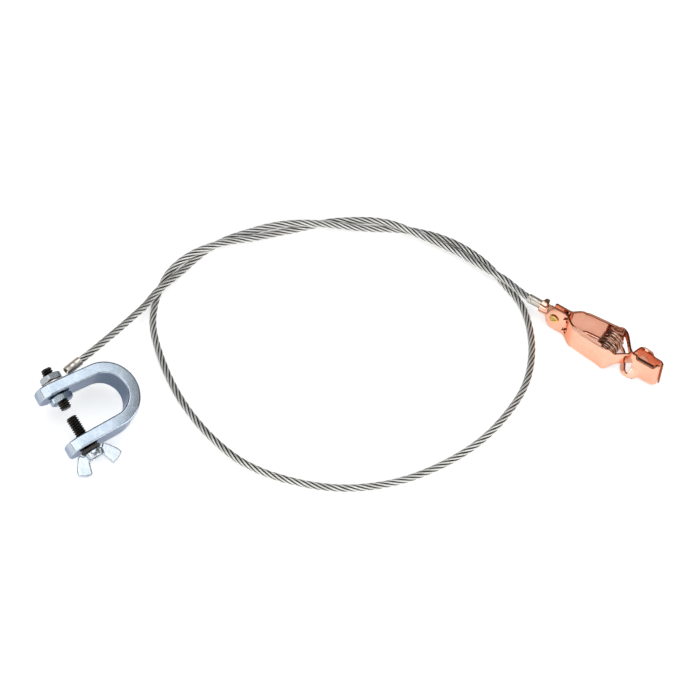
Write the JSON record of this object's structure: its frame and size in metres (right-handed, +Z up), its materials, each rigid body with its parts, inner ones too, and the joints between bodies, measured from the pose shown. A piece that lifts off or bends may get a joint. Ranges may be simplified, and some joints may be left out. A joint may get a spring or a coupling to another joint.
{
  "type": "ground clamp",
  "caption": "Bonding lead: a screw clamp bent from flat bar, joined by a coiled bare wire rope to a copper-plated spring clip.",
  "frame": {"origin": "centre of the box round the clamp and the clip, without the rope, on the table they lie on", "axes": "+X from the screw clamp to the spring clip, +Y across the table away from the camera, +Z up"},
  "size_m": [0.322, 0.1838, 0.0305],
  "materials": {
    "zinc_plate": "bright zinc plate, satin",
    "black_oxide": "black oxide, satin",
    "tinned_copper": "tin plate, satin",
    "rope_steel": "bare galvanised wire, satin",
    "sleeve_metal": "satin",
    "copper_plate": "bright copper plate",
    "spring_steel": "drawn wire, satin",
    "brass": "bright"
  },
  "bodies": {
    "lead": {"strap": "zinc_plate", "stud": "black_oxide", "outer_nut": "zinc_plate", "inner_nut": "zinc_plate", "ring_lug": "tinned_copper", "wire_rope": "rope_steel", "rope_sleeve": "sleeve_metal", "cable_lever": "copper_plate", "brass_screw": "brass", "coil_spring": "spring_steel"},
    "clamp_screw": {"clamp_screw": "black_oxide"},
    "wing": {"wing_nut": "zinc_plate", "lock_nut": "black_oxide"},
    "free_lever": {"free_lever": "copper_plate"}
  },
  "joints": [
    {"name": "screw_travel", "type": "slide", "parent": "lead", "child": "clamp_screw", "axis": [-0.6202, 0.7103, 0.3328], "range_m": [-0.01016, 0]},
    {"name": "wing_turn", "type": "hinge", "parent": "clamp_screw", "child": "wing", "pos_m": [-0.12758, -0.05636, 0.00813], "axis": [-0.6202, 0.7103, 0.3328], "range_deg": [-2880, 0]},
    {"name": "clip_hinge", "type": "hinge", "parent": "lead", "child": "free_lever", "pos_m": [0.10937, 0.05345, 0.009], "axis": [0, 0, -1], "range_deg": [0, 12], "stiffness_Nm_per_rad": 0.9, "springref_deg": -14.32, "deforming": ["coil_spring"]}
  ],
  "couplings": [
    {"joint": "wing_turn", "follows": "screw_travel", "rad_per_m": 4947.4}
  ]
}
